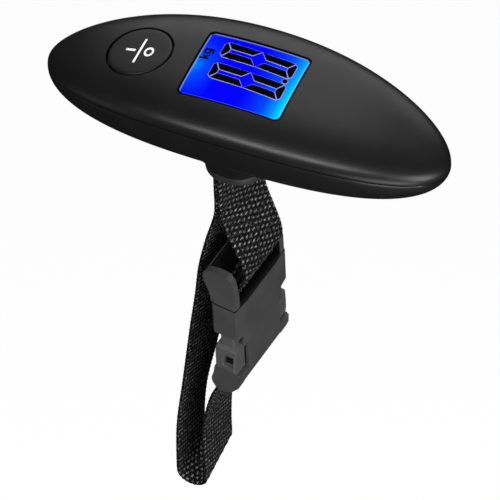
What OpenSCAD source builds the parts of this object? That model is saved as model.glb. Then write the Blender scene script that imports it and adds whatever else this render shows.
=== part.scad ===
// Digital luggage scale: an arched hand-held body with a lit display and a power button,
// over a webbing sling that opens at a side-release buckle.
// +X runs along the body, away from the button. +Y points away from the user. +Z is up.
// The origin is the middle of the body, on the seam between its two shells.

/* [Body] */
// Length of the body along X
body_l = 143; // [138:1:150]
// Width of the body along Y
body_w = 53; // [50:1:58]
// Height of the top shell above the seam, at the middle
top_rise = 7.6; // [7.2:0.1:9]
// Depth of the bottom shell below the seam, at the middle
bottom_drop = 23; // [22.5:0.5:25]
// How far the seam falls from the middle to the two ends
seam_fall = 12; // [10:0.5:13]
// Wall thickness of the shells
wall = 1.8; // [1.6:0.1:1.9]

/* [Display] */
// Length of the window along X
window_l = 35.6; // [33:0.5:36]
// Width of the window along Y
window_w = 28.8; // [27:0.2:29.4]
// Corner radius of the window
window_r = 2; // [1:0.5:3]

/* [Power button] */
// Diameter of the button
button_d = 22.4; // [18:0.2:22.4]
// Distance from the middle of the body to the middle of the button
button_offset = 37.6; // [37:0.2:39]
// How far the button travels
button_travel = 0.5; // [0.3:0.1:0.5]

/* [Sling] */
// Width of the webbing
webbing_w = 25; // [22:1:25]
// Thickness of the webbing
webbing_t = 1.4; // [1.2:0.1:1.5]
// Angle by which the sling hangs turned about Z
sling_turn = -8; // [-12:1:0]

/* [Hidden] */
$fn = 48;
gap = 0.3;
touch = 0.05;

// Body form: a superellipse in plan, with superelliptic cross-sections above and below the seam
plan_n = 2.13;
plan_m = 1.92;
top_n = 2.7;
bottom_n = 2.5;
profile_n = 2.38;
stations = 26;
around = 10;

// Heights inside the body
board_top = -1.5;
board_t = 1.6;
board_bottom = board_top - board_t;
glass_top = 5.2;
glass_t = 1.4;
glass_bottom = glass_top - glass_t;
switch_top = 0.3;
plunger_top = 0.9;
beam_top = -6.5;
beam_t = 6;
beam_bottom = beam_top - beam_t;
bar_x = -3;
bar_z = -16;
bar_r = 1.8;
yoke_t = 1.2;
leg_y = 13.8;
leg_bottom = -18.3;

// Neck under the body, an oval opening for the webbing
neck_bottom = -29;
neck_x = -2;
neck_hx = 11.6;
neck_hy = 15;
bore_hx = 10.2;
bore_hy = 14;
neck_p = 2.4;
bore_p = 2.5;
flare_h = 15;
sleeve_h = 4.5;
mouth_z = -33;

// Battery well in the underside
well_x = 30;
cover_face = -22.4;
cover_r = 12.2;
well_r = 12.5;
shelf_r = 11.3;
shelf_bottom = -20.8;
shelf_top = -19.9;
lug_turn = 35;
cell_bottom = -18.8;
cell_r = 10;
cell_t = 3.2;

// Screws
screw_r = 1.3;
screw_head_r = 2.6;
casing_screw_xy = [[-55, -7], [-55, 7], [55, -7], [55, 7]];
board_screw_xy = [[-22, -12.5], [-22, 12.5], [22, -12.5], [22, 12.5]];
beam_screw_x = [-32, -25];

// Buckle, in the turned frame of the sling: t is its thickness direction, w its width, z is up
buckle_w = 34;
back_t = -8.2;
front_t = 2.7;
corner_w = 10.2;
corner_drop = 0.8;
buckle_wall = 1.1;
mouth = -98;
band_bottom = -113;
socket_floor = -134;
tail_bottom = -146.8;
plug_bar = [-2.8, -93.2];
tail_bar = [-4, -140.5];
buckle_bar_r = 1.8;

// Centre lines of the webbing, as [t, z] points from the neck downwards
front_line = [
    [-3.9, -33.15], [-4.1, -42], [-4.15, -51], [-3.8, -56], [-2.6, -61.5], [0.2, -68.5], [3, -76],
    [3.9, -82], [2.7, -86.5], [0.8, -89.6], [-0.1, -91.6], [-0.2, -93.2]
];
long_line = [
    [-5.4, -33.15], [-5.62, -42], [-5.75, -51], [-6.3, -56], [-7.8, -61.5], [-11.3, -72.5], [-14.8, -87],
    [-17.2, -104], [-20.8, -127], [-25.3, -158], [-28.9, -183], [-30.1, -207]
];
return_line = [
    [-18.9, -207], [-18.9, -195], [-18.3, -180], [-14.4, -162], [-9.8, -151], [-6.8, -145.6],
    [-4, -143.05]
];
// The webbing leaves the neck turned further than the buckle, and settles by settle_bottom
collar_turn = -6.5;
neck_turn_top = -20;
settle_top = -48;
settle_bottom = -88;
// Heights between which the long webbing untwists again, down to its U-turn
untwist_top = -145;
untwist_bottom = -207;

// ---- body form ----

function half_w(x, o) =
    (body_w / 2 - o) * pow(max(0, 1 - pow(abs(x) / (body_l / 2 - o), plan_n)), 1 / plan_m);
function seam_z(x) = -seam_fall * pow(x / (body_l / 2), 2);
function inward(x, o) = max(0, 1 - pow(abs(x) / (body_l / 2 - o), profile_n));
function top_h(x, o) = (top_rise - o) * pow(inward(x, o), 1 / 3.9);
function bottom_h(x, o) = (bottom_drop - o) * pow(inward(x, o), 1 / 1.7);
function signed_pow(v, p) = sign(v) * pow(abs(v), p);
function arch(x, o, a, h, n) =
    [x, half_w(x, o) * signed_pow(cos(a), 2 / n), seam_z(x) + h * signed_pow(sin(a), 2 / n)];
function station_x(i, o) = -(body_l / 2 - o) * cos(180 * i / stations);
function top_arch(x, o) =
    [for (j = [0:around]) arch(x, o, 180 * j / around, top_h(x, o), top_n)];
function bottom_arch(x, o) =
    [for (j = [0:around]) arch(x, o, 180 + 180 * j / around, bottom_h(x, o), bottom_n)];
function full_arch(x, o) =
    concat(top_arch(x, o), [for (j = [1:around - 1]) bottom_arch(x, o)[j]]);

// Closes a row of rings, each with the same number of points, with a point at each end
module lofted(rings, first, last) {
    m = len(rings[0]);
    n = len(rings);
    points = concat([first], [for (r = rings) each r], [last]);
    faces = concat(
        [for (j = [0:m - 1]) [0, 1 + j, 1 + (j + 1) % m]],
        [for (i = [0:n - 2]) for (j = [0:m - 1])
            each [
                [1 + i * m + j, 1 + (i + 1) * m + j, 1 + (i + 1) * m + (j + 1) % m],
                [1 + i * m + j, 1 + (i + 1) * m + (j + 1) % m, 1 + i * m + (j + 1) % m]
            ]],
        [for (j = [0:m - 1]) [1 + n * m, 1 + (n - 1) * m + (j + 1) % m, 1 + (n - 1) * m + j]]
    );
    polyhedron(points, faces);
}

function inner_stations(o) = [for (i = [1:stations - 1]) station_x(i, o)];
function tip(s, o) = [s * (body_l / 2 - o), 0, seam_z(body_l / 2 - o)];

module top_half() {
    lofted([for (x = inner_stations(0)) top_arch(x, 0)], tip(-1, 0), tip(1, 0));
}

module bottom_half() {
    lofted([for (x = inner_stations(0)) bottom_arch(x, 0)], tip(-1, 0), tip(1, 0));
}

module cavity() {
    lofted([for (x = inner_stations(wall)) full_arch(x, wall)], tip(-1, wall), tip(1, wall));
}

function top_z(x, y) =
    seam_z(x) + top_h(x, 0) * pow(max(0, 1 - pow(abs(y) / half_w(x, 0), top_n)), 1 / top_n);

// A patch of the top surface, from drop d1 to drop d2 below it
module top_patch(x, lx, ly, d1, d2, n = 10) {
    grid = [for (d = [d1, d2]) for (i = [0:n]) for (j = [0:n])
        let (px = x - lx / 2 + lx * i / n, py = -ly / 2 + ly * j / n)
        [px, py, top_z(px, py) - d]];
    m = n + 1;
    k = m * m;
    faces = concat(
        [for (i = [0:n - 1]) for (j = [0:n - 1])
            let (a = i * m + j)
            each [
                [a, a + 1, a + m + 1], [a, a + m + 1, a + m],
                [k + a, k + a + m + 1, k + a + 1], [k + a, k + a + m, k + a + m + 1]
            ]],
        [for (i = [0:n - 1])
            let (a = i * m, b = i * m + n, c = i, d = n * m + i)
            each [
                [a, a + m, k + a + m, k + a], [b + m, b, k + b, k + b + m],
                [c + 1, c, k + c, k + c + 1], [d, d + 1, k + d + 1, k + d]
            ]]
    );
    polyhedron(points = grid, faces = faces);
}

// ---- helpers ----

function arc_points(c, r, a0, a1, n) =
    [for (i = [0:n]) let (a = a0 + (a1 - a0) * i / n) [c[0] + r * cos(a), c[1] + r * sin(a)]];
function rounded_box(l, w, r) = concat(
    arc_points([l / 2 - r, w / 2 - r], r, 0, 90, 5),
    arc_points([r - l / 2, w / 2 - r], r, 90, 180, 5),
    arc_points([r - l / 2, r - w / 2], r, 180, 270, 5),
    arc_points([l / 2 - r, r - w / 2], r, 270, 360, 5)
);
// A superelliptic ring, squarer as its power grows
function oval(hx, hy, z, p) = [for (a = [0:9:351])
    [hx * signed_pow(cos(a), 2 / p), hy * signed_pow(sin(a), 2 / p), z]];

module prism(outline, z0, z1) {
    translate([0, 0, z0])
        linear_extrude(height = z1 - z0)
            polygon(outline);
}

module block(x, y, z) {
    translate([x[0], y[0], z[0]])
        cube([x[1] - x[0], y[1] - y[0], z[1] - z[0]]);
}

module post(xy, r, z0, z1) {
    translate([xy[0], xy[1], z0])
        cylinder(r = r, h = z1 - z0);
}

// A rod along Y or along the buckle's width, at [x, z]
module rod(at, r, half_length) {
    translate([at[0], 0, at[1]])
        rotate([90, 0, 0])
            cylinder(r = r, h = 2 * half_length, center = true);
}

// An outline in X and Z, made thick from w0 to w1 along Y
module slice(outline, w0, w1) {
    translate([0, w1, 0])
        rotate([90, 0, 0])
            linear_extrude(height = w1 - w0)
                polygon(outline);
}

module in_sling() {
    rotate([0, 0, sling_turn])
        children();
}

// A thin round wire with six sides, swept along 3D points
module wire(points, r) {
    path = curve(points, 3);
    rings = [for (i = [0:len(path) - 1])
        let (
            v = path[min(i + 1, len(path) - 1)] - path[max(i - 1, 0)],
            side = cross(v, [1, 0.3, 0]) / norm(cross(v, [1, 0.3, 0])),
            up = cross(v, side) / norm(v)
        )
        [for (a = [0:60:300]) path[i] + r * (cos(a) * side + sin(a) * up)]];
    lofted(rings, path[0], path[len(path) - 1]);
}

// Catmull-Rom curve through 2D or 3D points
function curve_point(a, b, c, d, t) =
    0.5 * (2 * b + (c - a) * t + (2 * a - 5 * b + 4 * c - d) * t * t
        + (3 * b - a - 3 * c + d) * t * t * t);
function curve(p, n = 4) = concat(
    [for (i = [0:len(p) - 2]) for (k = [0:n - 1])
        curve_point(p[max(i - 1, 0)], p[i], p[i + 1], p[min(i + 2, len(p) - 1)], k / n)],
    [p[len(p) - 1]]
);
function normal_at(p, i) =
    let (v = p[min(i + 1, len(p) - 1)] - p[max(i - 1, 0)])
    [-v[1], v[0]] / norm(v);

// Turn of the webbing about Z at each height
function ease(f) = let (g = min(1, max(0, f))) g * g * (3 - 2 * g);
function turn_at(z) =
    ease((neck_turn_top - z) / (neck_turn_top - mouth_z))
    * (sling_turn * ease((z - untwist_bottom) / (untwist_top - untwist_bottom))
        + collar_turn * ease((z - settle_bottom) / (settle_top - settle_bottom)));
function turned(p, w) =
    let (a = turn_at(p[1]))
    [p[0] * cos(a) - w * sin(a), p[0] * sin(a) + w * cos(a), p[1]];

// Flat webbing along a line of [t, z] points
module webbing(path) {
    rings = [for (i = [0:len(path) - 1])
        let (
            a = path[i] + normal_at(path, i) * webbing_t / 2,
            b = path[i] - normal_at(path, i) * webbing_t / 2
        )
        [turned(a, -webbing_w / 2), turned(b, -webbing_w / 2),
            turned(b, webbing_w / 2), turned(a, webbing_w / 2)]];
    lofted(rings, turned(path[0], 0), turned(path[len(path) - 1], 0));
}

// ---- shells ----

module top_posts() {
    for (p = casing_screw_xy)
        post(p, 3.2, -20, 10);
    for (p = board_screw_xy)
        post(p, 2.2, board_top, 10);
}

module top_shell() {
    color([0.07, 0.07, 0.075])
    difference() {
        top_half();
        difference() {
            cavity();
            top_posts();
        }
        prism(rounded_box(window_l, window_w, window_r), 0, 12);
        post([-button_offset, 0], button_d / 2 + gap, -6, 12);
        for (p = casing_screw_xy)
            post(p, screw_r, -20, -5);
        for (p = board_screw_xy)
            post(p, 0.8, board_top - 1, board_top + 4);
    }
}

// The neck's outline at height t above its bottom, widening until it runs into the body's side
function neck_ring(t) =
    let (hx = neck_hx + 0.1 + 0.095 * t * t)
    let (hy = neck_hy + 0.1 + 0.2 * t + 0.0215 * t * t)
    oval(hx, hy, neck_bottom + t, neck_p + t / 20);

module neck_form() {
    translate([neck_x, 0, 0])
        lofted(
            [for (k = [0:7]) neck_ring(flare_h * k / 7)],
            [0, 0, neck_bottom], [0, 0, neck_bottom + flare_h]
        );
}

module neck_bore() {
    translate([neck_x, 0, 0])
        lofted([for (z = [mouth_z - 1, 0]) oval(bore_hx + 0.8, bore_hy + 0.4, z, bore_p)],
            [0, 0, mouth_z - 1], [0, 0, 0]);
}

module bottom_posts() {
    for (p = casing_screw_xy)
        post(p, 4.4, -30, 0);
    block([-37, -20], [-7, 7], [-30, beam_bottom]);
    post([well_x, 0], well_r + wall, -30, -15.6);
}

module battery_well() {
    post([well_x, 0], well_r, -30, shelf_bottom);
    post([well_x, 0], shelf_r, -30, -10);
    post([well_x, 0], well_r, shelf_top, -10);
    translate([well_x, 0, 0])
        for (s = [0, 180])
            rotate([0, 0, s + 90 + lug_turn])
                block([shelf_r - 2, well_r - 0.05], [-3.4, 3.4], [-22, -18]);
}

module bottom_shell() {
    color([0.07, 0.07, 0.075])
    difference() {
        union() {
            bottom_half();
            neck_form();
            intersection() {
                post([well_x, 0], well_r + wall, cover_face, -17);
                block([0, 60], [-20, 20], [-30, 0]);
            }
        }
        difference() {
            cavity();
            bottom_posts();
        }
        neck_bore();
        battery_well();
        for (p = casing_screw_xy) {
            post(p, 3, -40, -15.5);
            post(p, screw_r + 0.2, -40, 5);
        }
        for (x = beam_screw_x)
            post([x, 0], 1.5, beam_bottom - 5, beam_bottom + 1);
    }
}

module neck_collar() {
    color([0.1, 0.1, 0.105])
    translate([neck_x, 0, 0])
    difference() {
        lofted(
            [
                oval(neck_hx - 1, neck_hy - 0.6, mouth_z, neck_p),
                oval(neck_hx - 0.3, neck_hy - 0.3, mouth_z + 0.2, neck_p),
                oval(neck_hx, neck_hy, mouth_z + 0.7, neck_p),
                oval(neck_hx, neck_hy, neck_bottom, neck_p),
                oval(bore_hx + 0.75, bore_hy + 0.35, neck_bottom, bore_p),
                oval(bore_hx + 0.75, bore_hy + 0.35, neck_bottom + sleeve_h, bore_p)
            ],
            [0, 0, mouth_z], [0, 0, neck_bottom + sleeve_h]
        );
        lofted([for (z = [mouth_z - 1, neck_bottom + sleeve_h + 1]) oval(bore_hx, bore_hy, z, bore_p)],
            [0, 0, mouth_z - 1], [0, 0, neck_bottom + sleeve_h + 1]);
    }
}

// ---- button and display ----

module power_button() {
    r = button_d / 2;
    at = [-button_offset, 0];
    color([0.08, 0.08, 0.085])
    union() {
        difference() {
            intersection() {
                top_patch(-button_offset, 27, 27, 0, 3.5);
                post(at, r, -5, 10);
            }
            intersection() {
                top_patch(-button_offset, 27, 27, 1.7, 6);
                post(at, r - 1.6, -5, 10);
            }
        }
        intersection() {
            top_patch(-button_offset, 27, 27, 2.8, 3.6);
            difference() {
                post(at, r + 1.2, -5, 10);
                post(at, r - 1.6, -6, 11);
            }
        }
        post(at, 2.2, plunger_top + touch, top_z(-button_offset, 0) - 1);
    }
}

module display_window() {
    color([0.1, 0.3, 0.9, 0.4])
    intersection() {
        top_patch(0, window_l + 2, window_w + 2, 0.2, 1);
        prism(rounded_box(window_l - 0.2, window_w - 0.2, window_r), 0, 12);
    }
}

module display_holder() {
    color([0.12, 0.12, 0.12])
    difference() {
        block([-18.8, 18.8], [-15.1, 15.1], [board_top, 3.9]);
        block([-17.2, 17.2], [-13.35, 13.35], [board_top - 1, 5]);
    }
}

module lcd_glass() {
    color([0.05, 0.1, 0.8])
    block([-17, 17], [-13.2, 13.2], [glass_bottom, glass_top]);
}

module backlight() {
    color([0.9, 0.92, 0.95])
    block([-16, 16], [-10.4, 10.4], [board_top, glass_bottom]);
}

module display_connectors() {
    color([0.85, 0.5, 0.6])
    for (s = [-1, 1])
        translate([0, s * 12, 0])
            block([-15, 15], [-1.1, 1.1], [board_top, glass_bottom]);
}

module circuit_board() {
    color([0.05, 0.3, 0.15])
    difference() {
        prism([[-42, -8], [-27, -8], [-25, -15.5], [25, -15.5], [25, 15.5], [-25, 15.5],
            [-27, 8], [-42, 8]], board_bottom, board_top);
        for (p = board_screw_xy)
            post(p, 1, board_bottom - 1, board_top + 1);
    }
}

module controller_chip() {
    color([0.02, 0.02, 0.02])
    translate([12, 0, board_bottom])
        rotate_extrude()
            polygon([[0, 0], [5, 0], [4.4, -0.5], [2.6, -0.9], [0, -1]]);
}

module tact_switch() {
    color([0.15, 0.15, 0.15])
    difference() {
        translate([-button_offset, 0, 0])
            block([-3, 3], [-3, 3], [board_top, switch_top]);
        post([-button_offset, 0], 1.6, switch_top - 1, switch_top + 1);
    }
}

module switch_plunger() {
    color([0.7, 0.1, 0.1])
    post([-button_offset, 0], 1.4, switch_top - 0.4, plunger_top);
}

// ---- weighing parts ----

module load_cell() {
    color([0.75, 0.76, 0.78])
    difference() {
        block([-36, 2], [-6, 6], [beam_bottom, beam_top]);
        for (x = [-17.5, -11])
            rod([x, (beam_top + beam_bottom) / 2], 2.4, 8);
        block([-17.5, -11], [-8, 8], [-10.6, -9.4]);
        for (x = beam_screw_x)
            post([x, 0], 1.6, beam_bottom - 1, beam_top + 1);
        post([bar_x, 0], 1.25, beam_bottom - 1, beam_top + 1);
    }
}

module strain_gauges() {
    color([0.9, 0.75, 0.35])
    for (x = [-17.5, -11]) {
        block([x - 2, x + 2], [-2.2, 2.2], [beam_top, beam_top + 0.15]);
        block([x - 2, x + 2], [-2.2, 2.2], [beam_bottom - 0.15, beam_bottom]);
    }
}

module load_cell_screws() {
    color([0.6, 0.6, 0.62])
    for (x = beam_screw_x) {
        post([x, 0], 1.5, beam_bottom - 5, beam_top);
        difference() {
            post([x, 0], 2.8, beam_top, beam_top + 1.8);
            translate([x, 0, 0])
                block([-2, 2], [-0.35, 0.35], [beam_top + 1, beam_top + 3]);
        }
    }
}

module hanger_yoke() {
    color([0.7, 0.71, 0.73])
    difference() {
        union() {
            block([-7, 1], [-leg_y - yoke_t, leg_y + yoke_t], [beam_top, beam_top + yoke_t]);
            for (s = [-1, 1])
                translate([0, s * (leg_y + yoke_t / 2), 0])
                    block([-7, 1], [-yoke_t / 2, yoke_t / 2], [leg_bottom, beam_top]);
        }
        rod([bar_x, bar_z], bar_r, 20);
        post([bar_x, 0], 1.25, -20, 0);
    }
}

module yoke_screw() {
    color([0.6, 0.6, 0.62])
    union() {
        post([bar_x, 0], 1.25, beam_bottom + 0.2, beam_top + yoke_t);
        post([bar_x, 0], 2.5, beam_top + yoke_t, beam_top + yoke_t + 1.6);
    }
}

module strap_bar() {
    color([0.72, 0.73, 0.75])
    rod([bar_x, bar_z], bar_r, leg_y + yoke_t + 0.3);
}

module sensor_wires() {
    color([0.8, 0.15, 0.12])
    for (i = [0:3]) {
        y = -3.8 + i;
        wire([[-14, y - 1, beam_top + 0.6], [-8.5, y - 4, beam_top + 0.8],
            [-8.5, y - 6, board_bottom - 0.5]], 0.3);
    }
}

module battery_wires() {
    color([0.1, 0.1, 0.1])
    for (s = [-1, 1])
        wire([[22, 4 * s, -14.6], [17, 6 * s, -12], [17, 8 * s, board_bottom - 0.5]], 0.4);
}

// ---- battery ----

module coin_cell() {
    color([0.8, 0.8, 0.82])
    translate([well_x, 0, cell_bottom])
        rotate_extrude()
            polygon([[0, 0], [cell_r - 0.3, 0], [cell_r, 0.3], [cell_r, 2.6], [cell_r - 0.9, 2.8],
                [cell_r - 1.1, cell_t], [0, cell_t]]);
}

module contact_negative() {
    z = cell_bottom + cell_t;
    color([0.85, 0.75, 0.45])
    union() {
        block([well_x - 8, well_x + 4], [-2, 2], [z + 0.02, z + 0.32]);
        block([well_x - 8.3, well_x - 8], [-2, 2], [z + 0.02, z + 1.4]);
    }
}

module contact_positive() {
    color([0.85, 0.75, 0.45])
    union() {
        block([well_x + cell_r + 0.05, well_x + cell_r + 0.35], [-3, 3], [-18.4, -14]);
        block([well_x + cell_r + 0.35, well_x + cell_r + 3], [-3, 3], [-14.3, -14]);
    }
}

module battery_cover() {
    color([0.09, 0.09, 0.095])
    translate([well_x, 0, 0])
    difference() {
        union() {
            post([0, 0], cover_r, cover_face, shelf_bottom - 0.15);
            post([0, 0], shelf_r - 0.3, cover_face + 0.5, cell_bottom - 0.2);
            for (s = [0, 180])
                rotate([0, 0, s + 90])
                    intersection() {
                        post([0, 0], cover_r - 0.1, shelf_top + 0.15, cell_bottom - 0.2);
                        block([5, 20], [-2.8, 2.8], [-22, -18]);
                    }
        }
        block([-7, 7], [-0.9, 0.9], [cover_face - 1, cover_face + 0.8]);
    }
}

// ---- fasteners ----

module casing_screws() {
    color([0.5, 0.5, 0.52])
    for (p = casing_screw_xy)
        difference() {
            union() {
                post(p, screw_r, -15.5, -5.2);
                post(p, screw_head_r, -17.3, -15.5);
            }
            translate([p[0], p[1], 0])
                for (a = [0, 90])
                    rotate([0, 0, a])
                        block([-1.8, 1.8], [-0.3, 0.3], [-18, -16.5]);
        }
}

module board_screws() {
    color([0.6, 0.6, 0.62])
    for (p = board_screw_xy) {
        post(p, 0.8, board_bottom, board_top + 3.5);
        post(p, 1.7, board_bottom - 1, board_bottom);
    }
}

// ---- webbing ----

module strap_neck() {
    r = bar_r + touch + webbing_t / 2;
    color([0.05, 0.05, 0.05])
    webbing(concat(
        [[-5.4, -32.85], [-5.7, -25]],
        arc_points([bar_x, bar_z], r, 180, 0, 14),
        curve([[-1.2, -20.5], [-2.9, -27], [-3.9, -32.85]])
    ));
}

module strap_front() {
    r = buckle_bar_r + touch + webbing_t / 2;
    color([0.05, 0.05, 0.05])
    webbing(concat(
        curve(front_line),
        arc_points(plug_bar, r, -15, -180, 10),
        [[-5.35, -91]]
    ));
}

module strap_long() {
    r = buckle_bar_r + touch + webbing_t / 2;
    color([0.05, 0.05, 0.05])
    webbing(concat(
        curve(long_line, 3),
        arc_points([-24.5, -209.3], 5.6, 190, 350, 10),
        curve(return_line, 3),
        arc_points(tail_bar, r, -80, 175, 14),
        [[-6.6, -141.6]]
    ));
}

module strap_stitching() {
    color([0.1, 0.1, 0.1])
    for (z = [-44, -46.5, -49])
        for (w = [-11:2:11])
            rotate([0, 0, turn_at(z)])
                translate([-3.45, w, z])
                    block([0, 0.3], [-0.75, 0.75], [-0.3, 0.3]);
}

// ---- buckle ----

// Cross-section of the buckle in t and w, drawn in by o all round
function buckle_section(o) =
    let (b = back_t + o, f = front_t - o, h = buckle_w / 2 - o, c = corner_w - o / 2)
    [
        [b, 1.2 - h], [b + 1.2, -h], [f - corner_drop, -h], [f, -c],
        [f, c], [f - corner_drop, h], [b + 1.2, h], [b, h - 1.2]
    ];

// Side view of the plug's cheeks, which lean back to the rounded lip
cheek = [
    [-8.1, mouth + touch], [-8.5, -93], [-10.5, -88], [-10.9, -85], [-10.4, -82.9], [-8.8, -81.6],
    [-5, -80.7], [-1, -81], [0.9, -83.5], [1.9, -90], [2, mouth + touch]
];
lip = [
    [-8.1, mouth + touch], [-8.5, -93], [-10.5, -88], [-10.9, -85], [-10.4, -82.9], [-9.6, -82.3],
    [-8.7, -82.9], [-7.9, -84.6], [-7, -87.6], [-6.5, -91], [-6.4, mouth + touch]
];

module buckle_plug() {
    color([0.13, 0.13, 0.135])
    in_sling()
    union() {
        difference() {
            union() {
                prism(buckle_section(0.3), mouth + touch, -95.6);
                slice(lip, -16.2, 16.2);
                for (s = [-1, 1])
                    translate([0, s * 14.85, 0])
                        slice(cheek, -1.5, 1.5);
            }
            block([-6.6, 1.1], [-13.2, 13.2], [-96.6, -70]);
        }
        rod(plug_bar, buckle_bar_r, 13.4);
        block([-4.6, -0.9], [-3, 3], [-126, mouth + gap + 0.5]);
        block([-5.2, -0.3], [-4.4, 4.4], [-104, mouth + gap + 0.5]);
    }
}

// Cross-section of a press pad in t and w, thin enough to pass behind the front wall
pad_section = [
    [-7, 11.1], [-7, 17.3], [-6.3, 18.4], [0, 18.4], [0.9, 17.9], [1.2, 17], [1.2, 11.1]
];

// One spring arm, for the side at +w: a root inside the mouth, a shoulder and a press pad
module arm_form() {
    outline = [[11.1, mouth], [13.7, mouth], [13.7, -112], [14.4, -113.4], [15.7, -113.4],
        [15.7, -120.2], [17, -120.9], [17.8, -126], [18.2, -130.5], [17.2, -133], [11.1, -133]];
    intersection() {
        rotate([90, 0, 90])
            translate([0, 0, -7])
                linear_extrude(height = 8.2)
                    polygon(outline);
        union() {
            block([-5.4, -0.4], [0, 20], [-122, mouth]);
            prism(pad_section, -140, -120.2);
        }
    }
}

module press_pad_recess() {
    block([-3.5, 0.3], [16.2, 20], [-128.8, -123.6]);
}

module buckle_arm_far() {
    color([0.25, 0.25, 0.255])
    in_sling()
    difference() {
        arm_form();
        press_pad_recess();
    }
}

module buckle_arm_near() {
    color([0.25, 0.25, 0.255])
    in_sling()
    mirror([0, 1, 0])
        difference() {
            arm_form();
            press_pad_recess();
        }
}

// Side view of the socket's tail, with a rounded end
tail = [
    [front_t, socket_floor + 1], [2.5, -137.6], [1.3, -141], [-1.5, -144.6], [-4, -146.3],
    [-6.3, tail_bottom], [-8.4, -145.5], [-9.7, -143.2], [-9.9, -140.9], [-8.9, -137.5],
    [back_t, socket_floor + 1]
];

module buckle_socket() {
    inner_w = buckle_w / 2 - 1.6;
    color([0.14, 0.14, 0.145])
    in_sling()
    difference() {
        union() {
            prism(buckle_section(0), socket_floor, mouth);
            slice(tail, 0.4 - buckle_w / 2, buckle_w / 2 - 0.4);
        }
        block([back_t + buckle_wall, front_t - 1.3], [-inner_w, inner_w], [-133.4, mouth + 1]);
        for (s = [-1, 1])
            scale([1, s, 1]) {
                block([back_t - 1, front_t - 1.3], [13.2, 20], [-133.4, band_bottom]);
                block([back_t - 1, back_t + 2], [11, 20], [-133.4, band_bottom]);
                block([back_t, front_t + 1], [12.8, 20], [-120.5, band_bottom - 1]);
                block([back_t, front_t + 1], [10.6, 20], [-133.4, -119.9]);
            }
        difference() {
            block([-20, 1.4], [-12.9, 12.9], [-160, socket_floor - 1.5]);
            rod(tail_bar, buckle_bar_r, 13);
        }
        block([1.3, 20], [-12.9, 12.9], [-160, -138.6]);
    }
}

top_shell();
bottom_shell();
neck_collar();
power_button();
display_window();
display_holder();
lcd_glass();
backlight();
display_connectors();
circuit_board();
controller_chip();
tact_switch();
switch_plunger();
load_cell();
strain_gauges();
load_cell_screws();
hanger_yoke();
yoke_screw();
strap_bar();
sensor_wires();
battery_wires();
coin_cell();
contact_negative();
contact_positive();
battery_cover();
casing_screws();
board_screws();
strap_neck();
strap_front();
strap_long();
strap_stitching();
buckle_plug();
buckle_arm_near();
buckle_arm_far();
buckle_socket();
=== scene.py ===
import math
import bmesh
import bpy
from mathutils import Matrix, Vector


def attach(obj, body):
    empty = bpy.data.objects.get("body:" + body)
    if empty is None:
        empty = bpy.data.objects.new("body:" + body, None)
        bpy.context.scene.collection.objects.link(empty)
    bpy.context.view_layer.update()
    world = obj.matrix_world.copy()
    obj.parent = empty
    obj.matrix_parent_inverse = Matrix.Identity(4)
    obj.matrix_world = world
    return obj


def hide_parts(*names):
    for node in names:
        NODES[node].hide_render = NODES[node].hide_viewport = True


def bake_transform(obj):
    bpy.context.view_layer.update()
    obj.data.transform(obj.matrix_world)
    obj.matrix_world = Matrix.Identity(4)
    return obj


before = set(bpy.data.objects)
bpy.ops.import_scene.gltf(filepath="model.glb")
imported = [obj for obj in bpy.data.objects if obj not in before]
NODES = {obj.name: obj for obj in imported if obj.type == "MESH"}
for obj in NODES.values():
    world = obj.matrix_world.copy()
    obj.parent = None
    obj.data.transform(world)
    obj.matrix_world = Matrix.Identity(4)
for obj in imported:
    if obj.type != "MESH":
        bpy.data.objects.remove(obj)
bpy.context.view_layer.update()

MM = 0.001
scene = bpy.context.scene
scene.view_settings.view_transform = "Standard"

# ---- camera, with the lengths across the picture in picture widths ----

VIEW_RIGHT = Vector((0.92, 0.39, -0.035))
VIEW_UP = Vector((-0.266, 0.687, 0.676))
VIEW_BACK = Vector((0.288, -0.612, 0.736))
VIEW_DISTANCE = 1.1803
FOCAL_LENGTH = 7.2
ORIGIN_RIGHT, ORIGIN_UP = 0.0092, -0.3224
CLIP_END = 20


def make_camera():
    aim = VIEW_RIGHT * ORIGIN_RIGHT + VIEW_UP * ORIGIN_UP - VIEW_BACK * FOCAL_LENGTH
    reach = aim.length
    aim.normalize()
    right = (VIEW_RIGHT - aim * VIEW_RIGHT.dot(aim)).normalized()
    up = right.cross(aim)
    data = bpy.data.cameras.new("camera")
    data.lens = reach * data.sensor_width
    data.clip_end = CLIP_END
    camera = bpy.data.objects.new("camera", data)
    rows = [[right[i], up[i], -aim[i]] for i in range(3)]
    camera.matrix_world = Matrix.Translation(VIEW_BACK * VIEW_DISTANCE) @ Matrix(rows).to_4x4()
    scene.collection.objects.link(camera)
    scene.camera = camera


make_camera()

# ---- the object's form, in millimetres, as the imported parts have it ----

BODY_L = 143
BODY_W = 53
TOP_RISE = 7.6
BOTTOM_DROP = 23
SEAM_FALL = 12
WALL = 1.8
PLAN_N, PLAN_M = 2.13, 1.92
TOP_N, BOTTOM_N, PROFILE_N = 2.7, 2.5, 2.38
TOP_BLUNTNESS, BOTTOM_BLUNTNESS = 3.9, 1.7
WINDOW_L, WINDOW_W, WINDOW_R = 35.6, 28.8, 2
BUTTON_X, BUTTON_R = -37.6, 11.2
CELL_X = 30
WEB_W, WEB_T = 25, 1.4
SLING_TURN = math.radians(-8)
NECK_BOTTOM, MOUTH_Z = -29, -33
NECK_HX, NECK_HY, BORE_HX, BORE_HY = 11.6, 15, 10.2, 14
NECK_X, NECK_P, BORE_P = -2, 2.4, 2.5
BAR = (-3, -16)
BAR_R = 1.8


def half_w(x, o=0):
    """Half the body's width at x, for its surface set in by o."""
    return (BODY_W / 2 - o) * max(0, 1 - (abs(x) / (BODY_L / 2 - o)) ** PLAN_N) ** (1 / PLAN_M)


def seam_z(x):
    """Height of the line where the two shells meet."""
    return -SEAM_FALL * (x / (BODY_L / 2)) ** 2


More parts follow.
